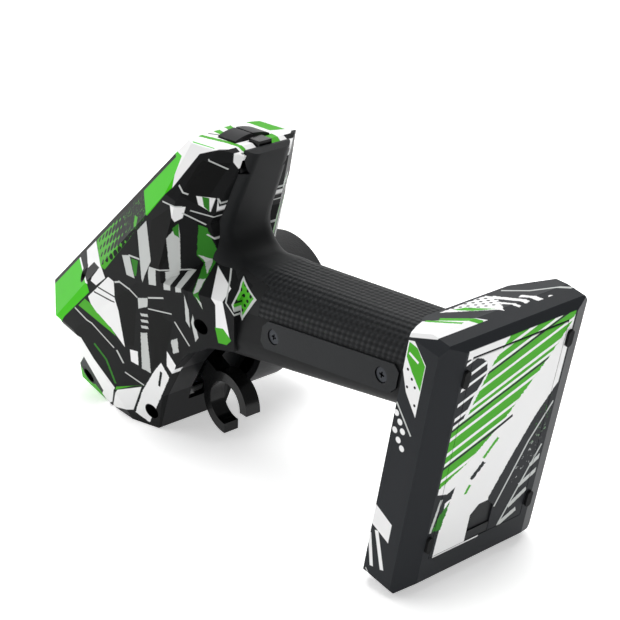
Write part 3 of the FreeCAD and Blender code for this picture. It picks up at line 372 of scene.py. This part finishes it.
def tail_print():
    """Pattern of the thumb panel: across the face and up its slope."""
    g = Graph("thumb_print")
    x, y, z = g.upright()
    up = Vector((TAIL_HIGH[0] - TAIL_LOW[0], TAIL_HIGH[1] - TAIL_LOW[1])).normalized()
    level = (up.x, -up.dot(Vector(TAIL_LOW)), up.y)
    height = g.node("VectorMath.DOT_PRODUCT", g.node("CombineXYZ", x, 1.0, z), level, out="Value")
    p = Print(g, y, height, INK_WHITE)
    p.shape(INK_GREEN, [(8.0, 15.5), (9.6, 15.0), (7.8, 5.0), (7.2, -4.0), (6.0, -4.0), (6.2, 5.0)], 1.0)
    p.shape(INK_GREEN, [(-7.0, 3.6), (-2.6, 2.8), (-1.2, -6.0), (-5.0, -6.0)], 0.5)
    p.shape(INK_GREEN, [(-3.4, 17.0), (-1.0, 17.0), (0.0, 13.0), (-2.0, 13.0)], 0.6)
    p.shape(INK_GREEN, [(1.4, 16.0), (3.6, 16.0), (4.2, 11.6), (2.4, 11.6)], 0.6)
    p.shape(INK_GREEN, [(-12.0, 17.5), (-8.6, 17.0), (-8.4, 6.0), (-12.4, 4.0)], 0.8)
    p.shape(INK_GREEN, [(-18.6, 9.0), (-15.4, 12.0), (-14.6, 1.0), (-17.4, 0.0)], 0.6)
    p.line(INK_CHARCOAL, (5.9, 15.4), (4.2, 11.2), 0.6)
    p.shape(INK_BRIGHT, [(13.4, 12.6), (17.6, 12.6), (22.0, 2.0), (19.0, -3.0), (15.0, -1.2), (12.9, 4.0)])
    p.disc(INK_BLACK, (15.8, 8.0), 1.3)
    p.disc(INK_BLACK, (15.8, 2.2), 1.0)
    film_finish(g, p.colour)
    return g.material


def under_print():
    """Pattern under the foot: slanting stripes, a broad white band and dark bands beside it."""
    g = Graph("foot_print")
    x, y, z = g.upright()
    p = Print(g, x, y, INK_WHITE)
    field = [(-40.0, -20.0), (-33.0, -18.6), (-23.5, -12.2), (-8.0, 0.2), (0.4, 9.6), (6.0, 19.4),
             (-12.2, 19.4), (-14.6, 14.4), (-27.5, 9.6), (-40.0, 2.0)]
    green = p.inside(field, 1.6)
    p.ink(INK_GREEN, green)
    corner = p.inside([(-33.2, 20.0), (-32.0, 14.0), (-30.0, 11.2), (-26.4, 10.6), (-20.5, 13.6),
                       (-14.4, 15.6), (-13.0, 20.0)], 0.7)
    p.ink(INK_GREY, corner)
    across = g.node("VectorMath.DOT_PRODUCT", p.here, (0.94, -0.34, 0.0), out="Value")
    along = g.node("VectorMath.DOT_PRODUCT", p.here, (0.068, 0.188, 0.0), out="Value")
    drawn_out = g.node("CombineXYZ", g.node("Math.MULTIPLY", across, 2.0), along, 0.0)
    spot = g.node("TexNoise", named={"Vector": drawn_out, "Scale": 0.8, "Detail": 3.0, "Roughness": 0.7})
    loose = g.node("Math.MULTIPLY", g.node("Math.SUBTRACT", spot, 0.5), 0.33)
    for at, half, code in ((-36.0, 0.4, INK_WHITE), (-32.0, 0.5, INK_WHITE), (-28.9, 0.45, INK_WHITE),
                           (-24.8, 0.45, INK_WHITE), (-20.8, 0.5, INK_WHITE), (-18.7, 0.45, INK_WHITE),
                           (-15.2, 0.5, INK_WHITE), (-11.0, 0.5, INK_WHITE), (-8.0, 0.45, INK_WHITE),
                           (-3.4, 0.5, INK_WHITE), (-28.0, 0.35, INK_GREY), (-17.7, 0.35, INK_GREY),
                           (-7.0, 0.4, INK_GREY)):
        away = g.node("Math.ABSOLUTE", g.node("Math.SUBTRACT", across, at))
        wide = g.node("Math.ADD", g.node("Math.SUBTRACT", half, away), loose)
        p.ink(code, both(g, p.sharp(wide), g.node("Math.MAXIMUM", green, corner)))
    p.shape(INK_GREY, band((-9.0, -3.4), (-5.0, 6.0), 0.9))
    p.line(INK_GREEN, (-3.4, 0.2), (1.4, 4.2), 1.1, 1.3)
    p.line(INK_GREY, (3.0, 3.6), (7.0, 7.2), 1.5, 1.5)
    p.line(INK_GREEN, (8.8, 7.0), (11.4, 8.2), 1.0, 1.0)
    p.shape(INK_GREY, [(7.0, 20.0), (8.4, 15.4), (16.0, 15.0), (29.4, 15.5), (29.4, 20.0)], 0.3)
    p.shape(INK_GREY, [(7.2, 12.6), (10.6, 13.2), (11.8, 16.6), (9.4, 17.0)], 0.7)
    p.shape(INK_LEAF, [(11.4, 13.4), (19.8, 14.8), (19.4, 17.8), (15.0, 16.4)], 1.4)
    p.line(INK_PALE, (9.6, 16.8), (19.6, 18.5), 0.9, 0.5)
    p.shape(INK_GREY, [(-15.8, -20.0), (-5.6, -12.7), (6.2, -6.4), (16.2, -1.6), (30.0, -1.0),
                       (30.0, -20.0)], 1.0)
    speck = p.sharp(g.node("Math.SUBTRACT", p.blots(0.75, 2.0, 0.6), 0.66))
    p.ink(INK_PALE, both(g, speck, p.inside([(-2.0, -19.0), (0.0, -13.4), (16.0, -8.0), (8.0, -19.0)])))
    p.ink(INK_LEAF, both(g, speck, p.inside([(-12.0, -19.0), (-8.0, -15.0), (4.0, -12.4), (2.0, -19.0)])))
    p.line(INK_PALE, (-8.0, -18.7), (2.6, -12.4), 0.6)
    p.line(INK_PALE, (2.4, -12.5), (20.6, -4.8), 0.6)
    p.line(INK_PALE, (5.6, -18.4), (28.2, -8.0), 0.6)
    for low_end, high_end in (((9.4, -19.0), (11.4, -15.6)), ((14.0, -19.0), (17.0, -13.0)),
                              ((19.4, -16.6), (23.0, -10.6)), ((25.2, -14.2), (27.8, -8.4))):
        p.line(INK_PALE, low_end, high_end, 1.5, 0.5)
    outside = g.node("Math.SUBTRACT", g.node("Math.ABSOLUTE", y), FLAT_HALF_W)
    for ahead, behind in ((x, FLAT_FRONT), (FLAT_REAR, x), (z, FLAT_DEPTH)):
        outside = g.node("Math.MAXIMUM", outside, g.node("Math.SUBTRACT", ahead, behind))
    p.ink(INK_GREY, p.sharp(outside))
    film_finish(g, p.colour)
    return g.material


def tray_print():
    """Pattern of the foot's upper half: its side walls seen from the side, its rear roof seen from behind."""
    g = Graph("tray_print")
    x, y, z = g.upright()
    side = Print(g, x, z, INK_GREY)
    side.shape(INK_WHITE, [(-34.2, 10.8), (-33.4, 12.8), (-25.0, 12.7), (-19.8, 10.4), (-15.0, 6.0),
                           (-30.0, 6.0)])
    side.shape(INK_GREEN, [(-33.2, 12.4), (-29.0, 12.4), (-26.0, 9.8), (-22.6, 6.2), (-29.8, 6.2),
                           (-33.0, 9.6)], 0.3)
    side.line(INK_WHITE, (-30.4, 11.8), (-29.4, 8.4), 0.7)
    for centre in ((-26.0, 11.2), (-24.2, 9.4), (-21.4, 10.4), (-22.6, 8.0), (-18.0, 7.0)):
        side.disc(INK_CHARCOAL, centre, 0.38)
    side.line(INK_PALE, (-15.6, 12.6), (-9.4, 6.2), 0.5)
    for centre in ((-12.8, 12.0), (-11.0, 10.4), (-8.0, 11.5), (-9.0, 9.0), (-6.0, 9.8), (-4.4, 8.2)):
        side.disc(INK_WHITE, centre, 0.85)
    side.shape(INK_WHITE, [(15.8, 12.8), (22.0, 12.8), (24.0, 6.3), (18.2, 6.3)])
    side.shape(INK_WHITE, [(15.8, 12.6), (22.0, 12.6), (33.0, 19.2), (29.0, 19.2)])
    side.line(INK_WHITE, (23.0, 10.8), (33.0, 6.6), 1.3)
    side.line(INK_WHITE, (25.0, 13.0), (34.2, 10.2), 1.2)
    side.line(INK_PALE, (36.0, 12.0), (39.6, 8.0), 0.4)
    rear = Print(g, y, z, INK_GREY)
    rear.shape(INK_WHITE, [(6.6, 5.6), (18.0, 16.6), (23.0, 14.6), (27.0, 12.4), (27.0, 3.6)])
    rear.line(INK_GREEN, (9.0, 5.8), (14.6, 14.4), 1.9, 0.6)
    rear.line(INK_GREEN, (13.6, 8.0), (17.4, 16.2), 1.2, 0.8)
    rear.shape(INK_WHITE, [(0.4, 7.2), (10.8, 17.8), (-5.0, 18.0), (-6.0, 15.0)], 1.4)
    rear.shape(INK_GREEN, [(1.0, 8.6), (5.6, 12.6), (7.6, 17.0), (4.4, 15.6)], 1.2)
    dotted = rear.inside([(-6.0, 6.0), (9.0, 18.0), (-6.0, 18.0)])
    rear.ink(INK_GREY, both(g, dotted, rear.dots(1.9, 0.24, 0.5)))
    for low_end, high_end, width in (((-11.8, 5.6), (-9.6, 11.0), 1.7), ((-7.8, 6.8), (-5.2, 16.0), 1.8),
                                     ((-4.6, 6.4), (-2.6, 12.0), 1.2)):
        rear.line(INK_WHITE, low_end, high_end, width, 1.3)
    rear.disc(INK_WHITE, (-15.2, 5.6), 0.9)
    rear.line(INK_PALE, (-23.4, 6.0), (-14.0, 12.0), 0.8)
    rear.line(INK_PALE, (-14.2, 11.8), (-10.4, 17.6), 0.8)
    behind = rear.sharp(g.node("VectorMath.DOT_PRODUCT", side.here, (-0.94, 0.34, -REAR_FACE), out="Value"))
    film_finish(g, g.node("Mix", named={0: behind, 6: side.colour, 7: rear.colour}, **COLOUR_MIX))
    return g.material


# ---- plain parts -----------------------------------------------------------------------------------------
def plastic(name, code, roughness, grain_mm=0.0, coat=0.0):
    """Moulded plastic, with a fine spark-eroded grain where a depth is given."""
    g = Graph(name)
    g.set(Base_Color=linear(code), Roughness=roughness, Specular_IOR_Level=0.16, Coat_Weight=coat)
    if grain_mm:
        grain(g, 900.0, grain_mm, 0.6)
    return g.material


def metal(name, code, roughness):
    """Drawn or turned steel with faint unevenness."""
    g = Graph(name)
    g.set(Base_Color=linear(code), Metallic=1.0, Roughness=roughness)
    grain(g, 700.0, 0.01, 0.5)
    return g.material


def grip_rubber():
    """Soft grip skin with small raised diamonds.

    The height is the product of two sine waves, one along each slanting direction: z / DIAMOND_L plus or
    minus the distance round the grip / DIAMOND_W. The same height also sets the colour: a painted highlight
    on the diamonds' tops and painted shade in the grooves between them.
    """
    g = Graph("grip_rubber")
    x, y, z = g.upright()
    ahead = g.node("Math.SUBTRACT", g.node("Math.MULTIPLY_ADD", z, GRIP_LEAN, GRIP_START), x)
    round_it = g.node("Math.MULTIPLY", g.node("Math.ARCTAN2", y, ahead), GRIP_ROUND)
    up, aside = g.node("Math.DIVIDE", z, DIAMOND_L), g.node("Math.DIVIDE", round_it, DIAMOND_W)
    waves = [g.node("Math.SINE", g.node("Math.MULTIPLY", g.node(way, up, aside), math.pi))
             for way in ("Math.ADD", "Math.SUBTRACT")]
    reach = g.node("MapRange", z, DIAMONDS_FADE, DIAMONDS_FULL)
    raised = g.node("Math.MULTIPLY_ADD", both(g, *waves, reach), 0.5, 0.5)
    p = Print(g, x, z, INK_BLACK)
    # painted highlight and painted shade: lighter colour on the diamonds' tops, darker in the grooves, set by
    # bump height
    p.colour = g.node("Mix", named={0: raised, 6: linear("0E0F10"), 7: linear("1E2022")}, **COLOUR_MIX)
    tongue = p.inside([(-4.8, 92.0), (-6.6, 78.6), (3.0, 78.6), (9.0, 84.0), (4.0, 92.0)])
    p.ink(INK_CHARCOAL, tongue)
    dotted_triangle(p)
    g.set(Base_Color=p.colour, Roughness=0.6, Specular_IOR_Level=0.18)
    height = g.node("Math.MAXIMUM", raised, tongue)
    g.set(Normal=g.node("Bump", named={"Strength": 1.0, "Distance": 0.45 * MM, "Height": height}))
    return g.material


def foam():
    """Moulded foam of the wheel: fine open cells."""
    g = Graph("wheel_foam")
    where = g.node("TexCoord", out="Object")
    cells = g.node("TexVoronoi", named={"Vector": where, "Scale": 1400.0})
    g.set(Base_Color=linear("2A2A2B"), Roughness=0.92)
    g.set(Normal=g.node("Bump", named={"Strength": 0.7, "Distance": 0.12 * MM, "Height": cells}))
    return g.material


SHELL = shell_print()
TAIL = tail_print()
UNDER = under_print()
TRAY = tray_print()
GRIP = grip_rubber()
FOAM = foam()
# moulded ABS: grained parts look soft and dark, polished ones show the lights
DARK = plastic("dark_abs", "121315", 0.42, grain_mm=0.03, coat=0.03)
SATIN = plastic("satin_abs", "1B1D1F", 0.5, grain_mm=0.04)
GLOSS = plastic("gloss_abs", "08090A", 0.24, coat=0.15)
WHEEL = plastic("wheel_abs", "141517", 0.35, grain_mm=0.02, coat=0.2)
KEYS = plastic("key_plastic", "262628", 0.45, grain_mm=0.02)
POT = plastic("pot_case", "2A3C5C", 0.4)
# moulded rubber: no gloss at all
PADS = plastic("pad_rubber", "121314", 0.75, grain_mm=0.05)
# oxidised screws look almost black; bare springs and shafts shine
STEEL = metal("black_screw_steel", "34363A", 0.35)
SPRING = metal("spring_steel", "B9BCC0", 0.25)
# shrink film, lacquered board and clear red lenses: smooth, with sharp reflections
CELL = plastic("cell_wrap", "6E7A74", 0.3, coat=0.4)
BOARD = plastic("circuit_board", "1F5A34", 0.45, grain_mm=0.02)
LENS = plastic("led_lens", "C8322A", 0.12, coat=0.6)

LOOKS = {
    "left_shell": SHELL, "right_shell": SHELL, "thumb_panel": TAIL, "battery_door": UNDER,
    "base_cover": UNDER, "base_tray": TRAY, "door_latch": SATIN, "foot_pads": PADS, "grip_cover": GRIP,
    "side_plate_left": SATIN, "side_plate_right": SATIN, "trigger_hood": DARK, "trigger_loop": GLOSS,
    "rocker_switch": KEYS, "square_button": GLOSS, "control_panel": DARK, "steering_trim": KEYS,
    "throttle_trim": KEYS, "rate_knob": KEYS, "power_switch": KEYS, "steering_boss": DARK,
    "wheel_hub": WHEEL, "wheel_cap": WHEEL, "wheel_grip": FOAM, "wheel_shaft": SPRING,
    "trigger_shaft": SPRING, "steering_spring": SPRING, "trigger_spring": SPRING,
    "battery_contacts": SPRING, "plate_screws": STEEL, "shell_screws": STEEL, "base_screws": STEEL,
    "cell_1": CELL, "cell_2": CELL, "cell_3": CELL, "battery_cradle": DARK, "circuit_board": BOARD,
    "switch_board": DARK, "steering_pot": POT, "trigger_pot": POT, "led_lenses": LENS,
    "antenna": SPRING,
}
for name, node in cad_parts.items():
    node.data.materials.clear()
    node.data.materials.append(LOOKS[name])


# ---- floor, light, camera --------------------------------------------------------------------------------
def studio():
    """White floor that rises behind the object.

    Its profile is a straight line, a quarter circle and an upright line, carried straight across the view:
    place = away * d + side * w + up * h, for each point (d, h) of the profile and w at either edge.
    """
    half_width, front, flat_to, radius, wall = 3.0, -3.0, 1.2, 0.6, 2.0
    turn = np.linspace(0.0, math.pi / 2, 17)
    run = np.concatenate(([front], flat_to + radius * np.sin(turn), [flat_to + radius]))
    rise = np.concatenate(([0.0], radius * (1 - np.cos(turn)), [radius + wall]))
    away = np.array((-math.sin(VIEW_AZIMUTH), math.cos(VIEW_AZIMUTH), 0.0))
    side = np.array((away[1], -away[0], 0.0))
    edge = np.array((-half_width, half_width))
    points = (run[:, None, None] * away + edge[None, :, None] * side
              + rise[:, None, None] * np.array((0.0, 0.0, 1.0))).reshape(-1, 3)
    first = 2 * np.arange(len(run) - 1)
    faces = np.stack([first, first + 1, first + 3, first + 2], axis=1)

    mesh = bpy.data.meshes.new("floor")
    mesh.from_pydata(points.tolist(), [], faces.tolist())
    mesh.polygons.foreach_set("use_smooth", np.ones(len(faces), dtype=bool))
    paper = plastic("paper_white", "FBFBFB", 0.9)
    # the paper glows a little, so that it stays white under soft light
    shader = paper.node_tree.nodes["Principled BSDF"]
    shader.inputs["Emission Color"].default_value = linear("FFFFFF")
    shader.inputs["Emission Strength"].default_value = PAPER_GLOW
    mesh.materials.append(paper)
    floor = bpy.data.objects.new("floor", mesh)
    bpy.context.scene.collection.objects.link(floor)


def area_light(name, place, target, width, power):
    """Square white light that faces its target."""
    data = bpy.data.lights.new(name, "AREA")
    data.size = width
    data.energy = power
    light = bpy.data.objects.new(name, data)
    light.location = place
    light.rotation_mode = "QUATERNION"
    light.rotation_quaternion = (Vector(target) - Vector(place)).to_track_quat("-Z", "Y")
    bpy.context.scene.collection.objects.link(light)


VIEW_AZIMUTH = math.radians(48.87)
VIEW_ELEVATION = math.radians(23.25)
VIEW_DISTANCE = 0.5083
VIEW_TARGET = Vector((0.0041, 0.0021, 0.0461))
FOCAL_MM, SENSOR_MM = 104.5, 36.0
PAPER_GLOW, AIR_GLOW = 0.48, 0.26
LIGHT_TARGET = (0.0, 0.0, 0.05)

studio()
area_light("key_light", (-0.1, 0.1, 1.2), LIGHT_TARGET, 1.0, 11.5)
area_light("left_light", (-0.7, -0.9, 0.8), LIGHT_TARGET, 0.9, 3.4)
area_light("rear_light", (-0.4, 0.9, 0.9), LIGHT_TARGET, 0.9, 3.0)

world = bpy.data.worlds.new("studio_air")
bpy.context.scene.world = world
world.use_nodes = True
world.node_tree.nodes["Background"].inputs["Color"].default_value = linear("FFFFFF")
world.node_tree.nodes["Background"].inputs["Strength"].default_value = AIR_GLOW

view = bpy.data.cameras.new("main_camera")
view.sensor_width = SENSOR_MM
view.lens = FOCAL_MM
view.clip_start, view.clip_end = 0.01, 20.0
camera = bpy.data.objects.new("main_camera", view)
back = Vector((math.sin(VIEW_AZIMUTH) * math.cos(VIEW_ELEVATION),
               -math.cos(VIEW_AZIMUTH) * math.cos(VIEW_ELEVATION), math.sin(VIEW_ELEVATION)))
camera.location = VIEW_TARGET + back * VIEW_DISTANCE
camera.rotation_mode = "QUATERNION"
camera.rotation_quaternion = (-back).to_track_quat("-Z", "Y")
bpy.context.scene.collection.objects.link(camera)
bpy.context.scene.camera = camera
bpy.context.scene.view_settings.view_transform = "Standard"
